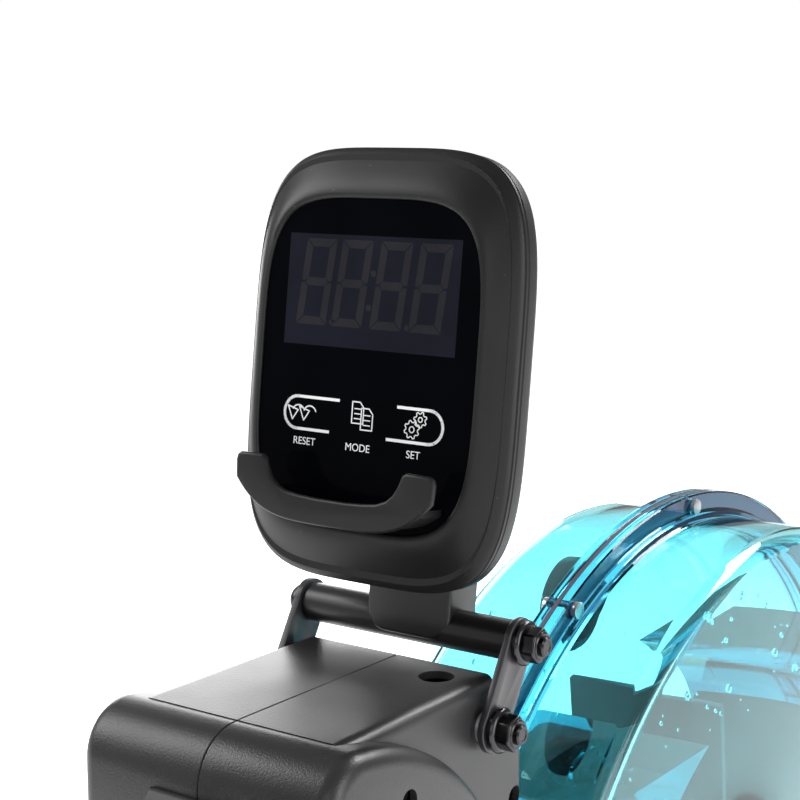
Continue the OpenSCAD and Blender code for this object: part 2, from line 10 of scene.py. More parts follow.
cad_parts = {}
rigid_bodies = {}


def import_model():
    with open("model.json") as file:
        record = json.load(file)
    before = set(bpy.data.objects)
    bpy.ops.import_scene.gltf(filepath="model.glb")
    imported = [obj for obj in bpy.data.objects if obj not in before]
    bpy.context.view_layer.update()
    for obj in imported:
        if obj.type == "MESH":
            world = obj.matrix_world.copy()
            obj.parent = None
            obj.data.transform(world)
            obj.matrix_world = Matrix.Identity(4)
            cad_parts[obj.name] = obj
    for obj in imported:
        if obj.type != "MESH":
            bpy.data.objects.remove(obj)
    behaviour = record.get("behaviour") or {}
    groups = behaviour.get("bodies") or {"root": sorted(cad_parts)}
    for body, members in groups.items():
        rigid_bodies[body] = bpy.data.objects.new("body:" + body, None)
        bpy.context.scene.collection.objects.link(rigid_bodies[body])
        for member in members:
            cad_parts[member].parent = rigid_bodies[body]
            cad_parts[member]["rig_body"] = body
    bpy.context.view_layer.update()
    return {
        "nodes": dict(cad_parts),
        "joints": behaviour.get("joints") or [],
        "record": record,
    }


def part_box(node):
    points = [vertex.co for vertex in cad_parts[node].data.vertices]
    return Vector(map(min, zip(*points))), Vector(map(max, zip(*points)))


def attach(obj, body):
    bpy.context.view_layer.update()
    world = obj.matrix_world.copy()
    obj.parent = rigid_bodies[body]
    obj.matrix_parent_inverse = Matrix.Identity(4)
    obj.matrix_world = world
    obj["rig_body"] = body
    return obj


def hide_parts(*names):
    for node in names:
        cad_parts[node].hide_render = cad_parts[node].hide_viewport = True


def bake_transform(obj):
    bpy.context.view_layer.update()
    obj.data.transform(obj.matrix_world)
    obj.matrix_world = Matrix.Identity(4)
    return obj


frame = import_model()
joint_at = {j["name"]: Vector(j["pos_m"]) for j in frame["joints"] if j.get("pos_m")}
MM = 0.001


# Camera, lights and floor.
# A long lens looks past the console to the drum; a pale room of large soft lamps surrounds it.
scene = bpy.context.scene
scene.view_settings.view_transform = "Standard"
camera_data = bpy.data.cameras.new("camera")
camera_data.lens = 80
camera_data.sensor_width = 36
camera_data.clip_start = 0.05
camera = bpy.data.objects.new("camera", camera_data)
camera.location = (0.4012, -0.0852, 0.7982)
camera.rotation_euler = (math.radians(90 - 8.9), 0, math.radians(35.71))
scene.collection.objects.link(camera)
scene.camera = camera

world = bpy.data.worlds.new("pale_room")
world.use_nodes = True
scene.world = world
room = world.node_tree
background = room.nodes["Background"]
background.inputs["Color"].default_value = (1, 1, 1, 1)
# white where it is looked at, through clear plastic too, and dimmer where it only lights
path = room.nodes.new("ShaderNodeLightPath")
seen = room.nodes.new("ShaderNodeMath")
seen.operation = "MAXIMUM"
room.links.new(path.outputs["Is Camera Ray"], seen.inputs[0])
room.links.new(path.outputs["Is Transmission Ray"], seen.inputs[1])
level = room.nodes.new("ShaderNodeMapRange")
level.inputs["To Min"].default_value = 0.34
level.inputs["To Max"].default_value = 1.02
room.links.new(seen.outputs["Value"], level.inputs["Value"])
room.links.new(level.outputs["Result"], background.inputs["Strength"])


def area_light(name, place, target, size, power):
    data = bpy.data.lights.new(name, "AREA")
    data.shape = "RECTANGLE"
    data.size, data.size_y = size
    data.energy = power
    lamp = bpy.data.objects.new(name, data)
    lamp.location = place
    lamp.rotation_euler = (Vector(target) - Vector(place)).to_track_quat("-Z", "Y").to_euler()
    scene.collection.objects.link(lamp)


area_light("back_top", (0.5, 2.3, 2.1), (0, 0.45, 0.58), (1.5, 0.7), 42)
area_light("back_left", (-2.0, 2.3, 0.95), (0, 0.45, 0.58), (1.3, 1.2), 26)
area_light("key_left", (-1.5, -0.3, 1.7), (0, 0.45, 0.65), (0.9, 1.2), 22)
area_light("side_right", (1.9, 0.5, 1.0), (0, 0.45, 0.6), (0.8, 1.4), 16)
area_light("front_fill", (1.3, -1.8, 1.5), (0, 0.4, 0.55), (1.4, 1.0), 8)


# Finishes.
# Each one is a principled shader whose colour, roughness and relief come from noise in the
# piece's own coordinates.
def shader_material(name, colour, roughness, metallic=0.0, **sockets):
    material = bpy.data.materials.new(name)
    material.use_nodes = True
    shader = material.node_tree.nodes["Principled BSDF"]
    shader.inputs["Base Color"].default_value = (*colour, 1)
    shader.inputs["Roughness"].default_value = roughness
    shader.inputs["Metallic"].default_value = metallic
    for socket, value in sockets.items():
        shader.inputs[socket.replace("_", " ").title().replace("Ior", "IOR")].default_value = value
    return material


def noise_from(material, scale, detail=3.0, stretch=(1, 1, 1)):
    nodes, links = material.node_tree.nodes, material.node_tree.links
    place = nodes.new("ShaderNodeTexCoord")
    mapping = nodes.new("ShaderNodeMapping")
    mapping.inputs["Scale"].default_value = stretch
    noise = nodes.new("ShaderNodeTexNoise")
    noise.inputs["Scale"].default_value = scale
    noise.inputs["Detail"].default_value = detail
    links.new(place.outputs["Object"], mapping.inputs["Vector"])
    links.new(mapping.outputs["Vector"], noise.inputs["Vector"])
    return noise.outputs["Fac"]


def ramp(material, factor, stops):
    node = material.node_tree.nodes.new("ShaderNodeValToRGB")
    while len(node.color_ramp.elements) < len(stops):
        node.color_ramp.elements.new(0.5)
    for element, (position, colour) in zip(node.color_ramp.elements, stops):
        element.position = position
        element.color = (*colour, 1)
    material.node_tree.links.new(factor, node.inputs["Fac"])
    return node.outputs["Color"]


def relief(material, height, strength, distance):
    nodes, links = material.node_tree.nodes, material.node_tree.links
    bump = nodes.new("ShaderNodeBump")
    bump.inputs["Strength"].default_value = strength
    bump.inputs["Distance"].default_value = distance
    links.new(height, bump.inputs["Height"])
    links.new(bump.outputs["Normal"], nodes["Principled BSDF"].inputs["Normal"])


def set_colour(material, colour):
    shader = material.node_tree.nodes["Principled BSDF"]
    material.node_tree.links.new(colour, shader.inputs["Base Color"])


def vary_roughness(material, factor, low, high):
    nodes, links = material.node_tree.nodes, material.node_tree.links
    spread = nodes.new("ShaderNodeMapRange")
    spread.inputs["From Min"].default_value = 0.3
    spread.inputs["From Max"].default_value = 0.7
    spread.inputs["To Min"].default_value = low
    spread.inputs["To Max"].default_value = high
    links.new(factor, spread.inputs["Value"])
    links.new(spread.outputs["Result"], nodes["Principled BSDF"].inputs["Roughness"])


def shade(colour, factor):
    return tuple(min(1.0, c * factor) for c in colour)


def moulded_plastic(name, colour, roughness, grain=1500, depth=0.35, **sockets):
    """Injection-moulded plastic: fine spark-eroded grain over a slow drift of tone, with a few
    pale specks of dust."""
    material = shader_material(name, colour, roughness, **sockets)
    drift = noise_from(material, 14, 4)
    specks = noise_from(material, 420, 1)
    tone = ramp(material, drift, [(0.3, shade(colour, 0.86)), (0.7, shade(colour, 1.16))])
    dust = ramp(material, specks, [(0.78, (0, 0, 0)), (0.84, (0.05, 0.05, 0.05))])
    add = material.node_tree.nodes.new("ShaderNodeMix")
    add.data_type = "RGBA"
    add.blend_type = "ADD"
    add.inputs["Factor"].default_value = 1
    links = material.node_tree.links
    links.new(tone, add.inputs["A"])
    links.new(dust, add.inputs["B"])
    set_colour(material, add.outputs["Result"])
    vary_roughness(material, drift, roughness - 0.05, roughness + 0.06)
    relief(material, noise_from(material, grain, 2), depth, 0.00012)
    return material


def coated_steel(name, colour, roughness):
    """Powder coat: satin, with a faint orange peel and slightly rubbed tone."""
    material = shader_material(name, colour, roughness, coat_weight=0.15, coat_roughness=0.25)
    drift = noise_from(material, 22, 5)
    set_colour(material, ramp(material, drift, [(0.3, shade(colour, 0.8)), (0.72, shade(colour, 1.3))]))
    vary_roughness(material, drift, roughness - 0.06, roughness + 0.08)
    relief(material, noise_from(material, 900, 2), 0.25, 0.0001)
    return material


def bare_metal(name, colour, roughness, scale=60, stretch=(1, 1, 1)):
    """Turned or drawn metal: fine lines along the work, a little tarnish between them."""
    material = shader_material(name, colour, roughness, metallic=1.0)
    lines = noise_from(material, scale, 6, stretch)
    set_colour(material, ramp(material, lines, [(0.25, shade(colour, 0.72)), (0.75, shade(colour, 1.2))]))
    vary_roughness(material, lines, roughness - 0.07, roughness + 0.1)
    relief(material, lines, 0.12, 0.00015)
    return material


def soft_rubber(name, colour, roughness=0.72):
    material = shader_material(name, colour, roughness)
    drift = noise_from(material, 30, 5)
    set_colour(material, ramp(material, drift, [(0.3, shade(colour, 0.8)), (0.7, shade(colour, 1.35))]))
    vary_roughness(material, drift, roughness - 0.08, roughness + 0.08)
    relief(material, noise_from(material, 700, 3), 0.4, 0.00015)
    return material


console_plastic = moulded_plastic("console_plastic", (0.0085, 0.0085, 0.009), 0.40, 1700, 0.35,
                                  specular_ior_level=0.32)
housing_plastic = moulded_plastic("housing_plastic", (0.024, 0.0235, 0.0245), 0.36, 1300, 0.75)
foot_plastic = moulded_plastic("foot_plastic", (0.030, 0.031, 0.033), 0.5, 700, 0.5)
pale_nylon = moulded_plastic("pale_nylon", (0.62, 0.63, 0.60), 0.35, 900, 0.15)
black_coat = coated_steel("black_coat", (0.0065, 0.0065, 0.007), 0.34)
grey_coat = coated_steel("grey_coat", (0.024, 0.0235, 0.027), 0.40)
zinc = bare_metal("zinc", (0.55, 0.56, 0.58), 0.3)
dark_zinc = bare_metal("dark_zinc", (0.055, 0.055, 0.058), 0.22)
anodised = bare_metal("anodised", (0.66, 0.67, 0.69), 0.34, 90, (8, 0.25, 8))
black_rubber = soft_rubber("black_rubber", (0.016, 0.016, 0.017))
tyre_rubber = soft_rubber("tyre_rubber", (0.022, 0.022, 0.023), 0.8)


# Making and placing pieces.
# A piece is one mesh, smooth but for its sharp edges, that rides on a body of the frame.
def place_piece(name, bm, material, body, slot, *nodes, sharp=32, turn=True):
    if turn:
        bmesh.ops.recalc_face_normals(bm, faces=bm.faces)
    mesh = bpy.data.meshes.new(name)
    bm.to_mesh(mesh)
    bm.free()
    piece = bpy.data.objects.new(name, mesh)
    scene.collection.objects.link(piece)
    for m in material if isinstance(material, (list, tuple)) else [material]:
        mesh.materials.append(m)
    mesh.shade_smooth()
    mesh.set_sharp_from_angle(angle=math.radians(sharp))
    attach(piece, body)
    if nodes:
        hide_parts(*nodes)
    return piece


def bevel_edges(bm, edges, radius, segments=3):
    bmesh.ops.bevel(bm, geom=list(edges), affect="EDGES", offset=radius, offset_type="OFFSET",
                    segments=segments, profile=0.5, material=-1, clamp_overlap=True)


body_of_node = {node: body for body, nodes in frame["record"]["behaviour"]["bodies"].items()
                for node in nodes}
slot_of_node = {part["node"]: part["material_slot"] for part in frame["record"]["subparts"]}


def node_copy(node):
    """The node's own shape as a bmesh, its flat faces joined up again."""
    bm = bmesh.new()
    bm.from_mesh(frame["nodes"][node].data)
    bmesh.ops.remove_doubles(bm, verts=bm.verts, dist=1e-6)
    bmesh.ops.dissolve_limit(bm, angle_limit=math.radians(1), verts=bm.verts, edges=bm.edges)
    return bm


def eased_copy(node, radius, material, segments=2, angle=32):
    """The node's own shape with its hard edges rounded over, as folded, moulded or filed ones are."""
    bm = node_copy(node)
    edges = [e for e in bm.edges if len(e.link_faces) == 2
             and e.calc_face_angle(0) > math.radians(angle)]
    bevel_edges(bm, edges, radius, segments)
    return place_piece(node + "_eased", bm, material, body_of_node[node], slot_of_node[node],
                       node, turn=False)


def add_rod(bm, y, z, radius, x0, x1, segments=48, bevel=0.0, bevel_segments=2):
    """A closed cylinder along X, with its rims rounded over."""
    made = bmesh.ops.create_cone(bm, cap_ends=True, segments=segments, radius1=radius,
                                 radius2=radius, depth=x1 - x0)
    turn = Matrix.Translation(((x0 + x1) / 2, y, z)) @ Matrix.Rotation(math.radians(90), 4, "Y")
    bmesh.ops.transform(bm, matrix=turn, verts=made["verts"])
    if bevel:
        rims = {e for v in made["verts"] for e in v.link_edges
                if abs(e.verts[0].co.x - e.verts[1].co.x) < 1e-9}
        bevel_edges(bm, rims, bevel, bevel_segments)
    return made["verts"]


def add_block(bm, low, high, bevel=0.0, segments=3):
    size = [h - l for l, h in zip(low, high)]
    middle = [(l + h) / 2 for l, h in zip(low, high)]
    made = bmesh.ops.create_cube(bm, size=1)
    bmesh.ops.transform(bm, verts=made["verts"],
                        matrix=Matrix.Translation(middle) @ Matrix.Diagonal((*size, 1)))
    if bevel:
        bevel_edges(bm, {e for v in made["verts"] for e in v.link_edges}, bevel, segments)


def raise_outline(bm, corners, lift):
    """A closed solid raised from a flat outline."""
    verts = [bm.verts.new(corner) for corner in corners]
    edges = [bm.edges.new(pair) for pair in zip(verts, verts[1:] + verts[:1])]
    face = bmesh.ops.contextual_create(bm, geom=edges)["faces"]
    lifted = bmesh.ops.extrude_face_region(bm, geom=face)["geom"]
    bmesh.ops.translate(bm, vec=lift, verts=[v for v in lifted if isinstance(v, bmesh.types.BMVert)])


def arc_points(cy, cz, radius, start, end, count):
    """Points round (cy, cz), angles in degrees from the first axis."""
    steps = [math.radians(start + (end - start) * i / count) for i in range(count + 1)]
    return [(cy + radius * math.cos(a), cz + radius * math.sin(a)) for a in steps]


def lathe(bm, profile, axis_y, axis_z, steps=128):
    """Turns a profile of (x, radius) points once round an axle along X. A profile that starts and
    ends on the axle is left open there, and any other is closed."""
    solid = profile[0][1] == 0 and profile[-1][1] == 0
    verts = [bm.verts.new((x, axis_y, axis_z + r)) for x, r in profile]
    pairs = zip(verts, verts[1:] if solid else verts[1:] + verts[:1])
    edges = [bm.edges.new(pair) for pair in pairs]
    bmesh.ops.spin(bm, geom=verts + edges, cent=(0, axis_y, axis_z), axis=(1, 0, 0),
                   angle=math.tau, steps=steps, use_merge=True)
    if solid:
        bmesh.ops.remove_doubles(bm, verts=bm.verts, dist=1e-3)


def settled_mesh(thing):
    """The mesh an object shows with its modifiers, or its curve, worked out."""
    return bpy.data.meshes.new_from_object(thing.evaluated_get(bpy.context.evaluated_depsgraph_get()))


def cut(piece, cutter_bm):
    """Cuts the closed shapes in cutter_bm out of a piece and leaves a plain mesh."""
    bmesh.ops.recalc_face_normals(cutter_bm, faces=cutter_bm.faces)
    mesh = bpy.data.meshes.new("cutter")
    cutter_bm.to_mesh(mesh)
    cutter_bm.free()
    cutter = bpy.data.objects.new("cutter", mesh)
    scene.collection.objects.link(cutter)
    modifier = piece.modifiers.new("cut", "BOOLEAN")
    modifier.operation = "DIFFERENCE"
    modifier.solver = "EXACT"
    modifier.object = cutter
    made = settled_mesh(piece)
    piece.modifiers.clear()
    old = piece.data
    piece.data = made
    made.name = old.name
    bpy.data.meshes.remove(old)
    bpy.data.objects.remove(cutter)
    bpy.data.meshes.remove(mesh)


# Console shells.
# Two moulded halves with a rounded outline that is nearly a rectangle, met at a seam round the
# edge. The front half falls in a broad bevel from a lip at the glass. Sizes in millimetres, with
# the glass face at depth 0.
PIVOT = joint_at["console_tilt"]
CONSOLE_LEAN = 7.1
on_console = (Matrix.Translation(PIVOT + Vector((0, -43 * MM, 0)))
              @ Matrix.Rotation(math.radians(-CONSOLE_LEAN), 4, "X") @ Matrix.Scale(MM, 4))
OUTLINE_POWER = 4.2
OUTLINE_STEPS = 160
CONSOLE_A, CONSOLE_B, CONSOLE_MID = 62.8, 84.0, 107.0
GLASS_A, GLASS_B, GLASS_MID = 50.5, 62.9, 107.85


def outline_ring(bm, a, b, middle, depth):
    """The vertices of one rounded outline, in order round it."""
    made = bmesh.ops.create_circle(bm, cap_ends=False, segments=OUTLINE_STEPS, radius=1)
    for v in made["verts"]:
        c, s = v.co.x, v.co.y
        v.co = (a * math.copysign(abs(c) ** (2 / OUTLINE_POWER), c), depth,
                middle + b * math.copysign(abs(s) ** (2 / OUTLINE_POWER), s))
    return made["verts"]


def skin_rings(bm, rings, closed=False, first_cap=False, last_cap=False):
    """Joins outline rings, each (half width, half height, middle, depth), into one skin."""
    loops = [outline_ring(bm, *ring) for ring in rings]
    for one, two in zip(loops, loops[1:] + loops[:1] if closed else loops[1:]):
        for i in range(OUTLINE_STEPS):
            bm.faces.new((one[i - 1], one[i], two[i], two[i - 1]))
    for loop, wanted in ((loops[0], first_cap), (loops[-1], last_cap)):
        if wanted:
            bm.faces.new(loop)


def inset_ring(inset, depth):
    return (CONSOLE_A - inset, CONSOLE_B - inset, CONSOLE_MID, depth)


def toward_glass(share, depth):
    """A ring part of the way from the outer outline to the glass."""
    return (CONSOLE_A + (GLASS_A - CONSOLE_A) * share, CONSOLE_B + (GLASS_B - CONSOLE_B) * share,
            CONSOLE_MID + (GLASS_MID - CONSOLE_MID) * share, depth)


SEAM = 9.6
bm = bmesh.new()
front_rings = [inset_ring(0.55, SEAM), inset_ring(0.5, SEAM - 0.4), inset_ring(0, SEAM - 0.7)]
front_rings += [toward_glass(0.03, 8.1), toward_glass(0.09, 7.2), toward_glass(0.18, 6.0),
                toward_glass(0.30, 4.5), toward_glass(0.45, 2.7), toward_glass(0.58, 1.2),
                toward_glass(0.70, 0.0), toward_glass(0.80, -0.8), toward_glass(0.89, -1.2),
                toward_glass(0.96, -1.2), toward_glass(0.99, -0.8), toward_glass(1.0, -0.2),
                toward_glass(1.005, 0.8),
                (GLASS_A + 0.1, GLASS_B + 0.1, GLASS_MID, 2.1),
                (GLASS_A - 4, GLASS_B - 4, GLASS_MID, 2.1),
                (GLASS_A - 4, GLASS_B - 4, GLASS_MID, 5.0), inset_ring(3, 5.0), inset_ring(3, SEAM)]
skin_rings(bm, front_rings, closed=True)
bmesh.ops.transform(bm, matrix=on_console, verts=bm.verts)
place_piece("console_front", bm, console_plastic, "console", "abs_console", "console_bezel", sharp=40)

bm = bmesh.new()
rear_rings = [inset_ring(3, SEAM + 0.1), inset_ring(0.55, SEAM + 0.1), inset_ring(0.5, SEAM + 0.4),
              inset_ring(0, SEAM + 0.8), inset_ring(0, 11.6), inset_ring(0.45, 12.0), inset_ring(0.45, 12.5),
              inset_ring(0.1, 12.9), inset_ring(0.2, 17.2), inset_ring(0.8, 19.2), inset_ring(2.2, 20.8),
              inset_ring(4.6, 21.7), inset_ring(9, 22)]
skin_rings(bm, rear_rings, first_cap=True, last_cap=True)
add_block(bm, (-14, 21, 92), (18, 43.0 * math.cos(math.radians(CONSOLE_LEAN)) - 8.1, 124), 1.5)
add_block(bm, (-30, 21.5, 134), (30, 23.4, 172), 0.8)
for x in (-44, 44):
    for z in (54, 160):
        boss = bmesh.ops.create_cone(bm, cap_ends=True, segments=24, radius1=4.2, radius2=3.6, depth=1.6)
        upright = Matrix.Rotation(math.radians(-90), 4, "X")
        bmesh.ops.transform(bm, verts=boss["verts"], matrix=Matrix.Translation((x, 22.0, z)) @ upright)
bmesh.ops.transform(bm, matrix=on_console, verts=bm.verts)
place_piece("console_back", bm, console_plastic, "console", "abs_console", "console_rear", sharp=40)


# Console glass and what is printed behind it.
# A black-backed pane with a faint slate display window, unlit seven-segment digits and white
# line icons over their key names.
def pane_material(name, colour, roughness, gloss):
    material = shader_material(name, colour, roughness)
    material.node_tree.nodes["Principled BSDF"].inputs["Specular IOR Level"].default_value = gloss
    smear = noise_from(material, 45, 4)
    set_colour(material, ramp(material, smear, [(0.35, shade(colour, 0.9)), (0.65, shade(colour, 1.12))]))
    vary_roughness(material, smear, roughness, roughness + 0.05)
    return material


glass_black = pane_material("glass_black", (0.0016, 0.0018, 0.0028), 0.07, 0.03)
window_slate = pane_material("window_slate", (0.0120, 0.0130, 0.0200), 0.10, 0.03)
segment_grey = pane_material("segment_grey", (0.0235, 0.0235, 0.0285), 0.12, 0.03)
print_white = pane_material("print_white", (0.86, 0.87, 0.88), 0.45, 0.05)

bm = bmesh.new()
skin_rings(bm, [(GLASS_A, GLASS_B, GLASS_MID, 2.0), (GLASS_A, GLASS_B, GLASS_MID, 0.25),
                (GLASS_A - 0.25, GLASS_B - 0.25, GLASS_MID, 0)], first_cap=True, last_cap=True)
bmesh.ops.transform(bm, matrix=on_console, verts=bm.verts)
place_piece("console_pane", bm, glass_black, "console", "glass", "console_glass")


def add_print(bm, points, near, far=-0.005):
    """A flat printed shape, points as (across, up the pane), from far to near in front of it."""
    raise_outline(bm, [(x, far, z) for x, z in points], (0, near - far, 0))


def add_line(bm, points, width, near, closed=False):
    """A printed line of one width through the points."""
    for (x0, z0), (x1, z1) in zip(points, points[1:] + points[:1] if closed else points[1:]):
        length = math.hypot(x1 - x0, z1 - z0)
        ux, uz = (x1 - x0) / length, (z1 - z0) / length
        reach, half = width * 0.35, width / 2
        corners = [(-reach, -half), (length + reach, -half), (length + reach, half), (-reach, half)]
        add_print(bm, [(x0 + ux * s - uz * t, z0 + uz * s + ux * t) for s, t in corners], near)


WINDOW_HALF, WINDOW_LOW, WINDOW_HIGH = 40.4, 113.5, 156.6
bm = bmesh.new()
add_print(bm, [(-WINDOW_HALF, WINDOW_LOW), (WINDOW_HALF, WINDOW_LOW), (WINDOW_HALF, WINDOW_HIGH),
               (-WINDOW_HALF, WINDOW_HIGH)], -0.03)
bmesh.ops.transform(bm, matrix=on_console, verts=bm.verts)
place_piece("display_window", bm, window_slate, "console", "glass")

DIGIT_H, DIGIT_W, SEGMENT_T, DIGIT_SLANT = 33.4, 14.6, 3.2, 0.10
DIGIT_Z = 121.4


def add_digit(bm, centre):
    """Seven mitred segments with a hair gap between them, leaning to the right."""
    w, h, t, gap = DIGIT_W / 2, DIGIT_H / 2, SEGMENT_T, 0.28
    bar = [(-w + gap, h), (w - gap, h), (w - t - gap, h - t), (-w + t + gap, h - t)]
    post = [(w, h - gap), (w, 0.3 + gap), (w - t / 2, gap), (w - t, t / 2 + gap), (w - t, h - t - gap)]
    middle = [(t / 2 + gap - w, 0), (t - w, t / 2), (w - t, t / 2), (w - t / 2 - gap, 0), (w - t, -t / 2),
              (t - w, -t / 2)]
    shapes = [(middle, 1, 1), (bar, 1, 1), (bar, 1, -1)]
    shapes += [(post, across, up) for across in (1, -1) for up in (1, -1)]
    for shape, across, up in shapes:
        add_print(bm, [(centre + x * across + z * up * DIGIT_SLANT, DIGIT_Z + h + z * up)
                       for x, z in shape], -0.05)


def disc_points(x, z, radius, count=16):
    return [(x + radius * math.cos(math.tau * i / count), z + radius * math.sin(math.tau * i / count))
            for i in range(count)]


bm = bmesh.new()
for centre in (-26.2, -8.9, 9.5, 27.6):
    add_digit(bm, centre)
for dot_z in (DIGIT_Z + 8, DIGIT_Z + 21):
    add_print(bm, disc_points(0.2 + (dot_z - DIGIT_Z - 15) * DIGIT_SLANT, dot_z, 1.3), -0.05)
for dot_x in (-17.5, 18.0):
    add_print(bm, disc_points(dot_x, DIGIT_Z + 1.5, 1.2), -0.05)
bmesh.ops.transform(bm, matrix=on_console, verts=bm.verts)
place_piece("display_digits", bm, segment_grey, "console", "glass")

INK = -0.06
bm = bmesh.new()
BRACKET_LOW, BRACKET_HIGH, BRACKET_LINE = 80.6, 93.2, 1.15
for side, tip in ((-1, -13.5), (1, 14.5)):
    radius = (BRACKET_HIGH - BRACKET_LOW) / 2
    mid = (BRACKET_LOW + BRACKET_HIGH) / 2
    end = side * 37.5
    curve = arc_points(end - side * radius, mid, radius, 90, 90 + side * -180, 14)
    line = [(tip + 2.2, BRACKET_HIGH)] + curve + [(tip - 2.0, BRACKET_LOW)]
    add_line(bm, line, BRACKET_LINE, INK)
# two return arrows
for shift in (-3.4, 2.2):
    x, z = -27.9 + shift, 87.2
    sweep = arc_points(x + 0.6, z - 0.6, 3.2, 25, 150, 8)
    add_line(bm, sweep, 0.55, INK)
    head = [(x - 4.6, z + 2.0), (x - 2.2, z - 3.2), (x + 0.4, z + 0.6), (x - 4.6, z + 2.0)]
    add_line(bm, head, 0.5, INK)
# two overlapping pages
for x, z in ((-4.6, 85.2), (-0.2, 83.0)):
    page = [(x, z), (x + 5.4, z), (x + 5.4, z + 6.2), (x + 3.6, z + 8.2), (x, z + 8.2)]
    add_line(bm, page, 0.5, INK, True)
    for row in range(3):
        add_line(bm, [(x + 1.2, z + 1.8 + 1.9 * row), (x + 4.2, z + 1.8 + 1.9 * row)], 0.42, INK)
# two gears
for gx, gz, radius, teeth in ((23.6, 85.4, 2.7, 8), (27.2, 89.4, 2.2, 7)):
    rim = []
    for i in range(teeth * 4):
        reach = radius + (0.75 if i % 4 in (1, 2) else 0)
        a = math.tau * i / (teeth * 4)
        rim.append((gx + reach * math.cos(a), gz + reach * math.sin(a)))
    add_line(bm, rim, 0.42, INK, True)
    add_line(bm, disc_points(gx, gz, radius * 0.42, 10), 0.42, INK, True)
bmesh.ops.transform(bm, matrix=on_console, verts=bm.verts)
place_piece("key_marks", bm, print_white, "console", "glass")


def add_label(bm, words, x, z, height):
    """A key's name in plain capitals, turned into flat mesh on the pane."""
    curve = bpy.data.curves.new(words.lower() + "_label", "FONT")
    curve.body = words
    curve.size = height / 0.70
    curve.align_x = "CENTER"
    curve.extrude = 0.02
    holder = bpy.data.objects.new("label", curve)
    scene.collection.objects.link(holder)
    bpy.context.view_layer.update()
    mesh = settled_mesh(holder)
    mesh.transform(Matrix.Translation((x, -0.04, z)) @ Matrix.Rotation(math.radians(90), 4, "X"))
    bm.from_mesh(mesh)
    bpy.data.objects.remove(holder)
    bpy.data.curves.remove(curve)
    bpy.data.meshes.remove(mesh)


bm = bmesh.new()
for words, x in (("RESET", -26.9), ("MODE", -1.0), ("SET", 25.0)):
    add_label(bm, words, x, 74.6, 2.9)
bmesh.ops.transform(bm, matrix=on_console, verts=bm.verts)
place_piece("key_names", bm, print_white, "console", "glass", turn=False)


# Phone rest.
# A curved lip with upturned ends, standing 14 mm off the glass face on a thin shelf.
def lip_low(x):
    return 46.5 + 14.5 * (abs(x) / 46.5) ** 4


inner_wall = [(32.2, 69.6), (31.4, 67.6), (30.3, 65), (28.4, 62), (25.6, 59.6), (21.5, 58),
              (15, 57.2), (7, 56.8)]
outer_wall = [(46.3, 62.5), (46.6, 67.6), (46, 69.6), (44.4, 70.6), (34, 70.8)]
lip = [(46.0 * i / 20, lip_low(46.0 * i / 20)) for i in range(21)] + outer_wall + inner_wall
lip += [(-x, z) for x, z in reversed(lip[1:])]
shelf = [(3.3 * i, lip_low(3.3 * i) + 0.6) for i in range(-12, 13)]
shelf += [(x, z + 2.6) for x, z in reversed(shelf)]
bm = bmesh.new()
for outline, near, far, radius in ((lip, -17, -14, 1.2), (shelf, -14.4, 3.0, 0.5)):
    start = set(bm.edges)
    raise_outline(bm, [(x, near, z) for x, z in outline], (0, far - near, 0))
    rims = [e for e in bm.edges if e not in start and abs(e.verts[0].co.y - e.verts[1].co.y) < 1e-6]
    bevel_edges(bm, rims, radius, 4)
bmesh.ops.transform(bm, matrix=on_console, verts=bm.verts)
place_piece("phone_rest", bm, console_plastic, "console", "pad_plastic", "phone_cradle", sharp=50)
# the board behind the glass keeps its own shape
frame["nodes"]["display_board"].data.materials.clear()
frame["nodes"]["display_board"].data.materials.append(foot_plastic)


# Neck and swinging links.
# A powder-coated square-section tube, closed and rounded at the foot, welded over a cross tube;
# two flat steel links hold the cross tube on domed bolts, washers and flanged nuts.
bm = bmesh.new()
foot_turns = arc_points(14.6, 9.6, 9, 0, -90, 8) + arc_points(-7.4, 9.6, 9, -90, -180, 8)
NECK_FRONT, NECK_TOP = 34.67, 130
neck_outline = [(23.6, NECK_TOP)] + foot_turns + [(-16.4, NECK_TOP)]
raise_outline(bm, [(x, NECK_FRONT, z) for x, z in neck_outline], (0, 20, 0))
bevel_edges(bm, [e for e in bm.edges if abs(e.verts[0].co.y - e.verts[1].co.y) < 1e-6], 1.6, 3)
bmesh.ops.transform(bm, matrix=on_console, verts=bm.verts)
turned_about = Matrix.Translation(PIVOT) @ Matrix.Scale(MM, 4)
tube = bmesh.new()
lathe(tube, [(-49.5, 5), (-49.5, 7.6), (-49.1, 8), (49.1, 8), (49.5, 7.6), (49.5, 5)], 0, 0, 64)
bmesh.ops.transform(tube, matrix=turned_about, verts=tube.verts)
tube_mesh = bpy.data.meshes.new("tube")
tube.to_mesh(tube_mesh)
tube.free()
bm.from_mesh(tube_mesh)
bpy.data.meshes.remove(tube_mesh)
place_piece("neck_weldment", bm, black_coat, "console", "black_steel", "neck", sharp=40)
for side in ("left", "right"):
    eased_copy("link_" + side, 0.8 * MM, grey_coat, segments=3)


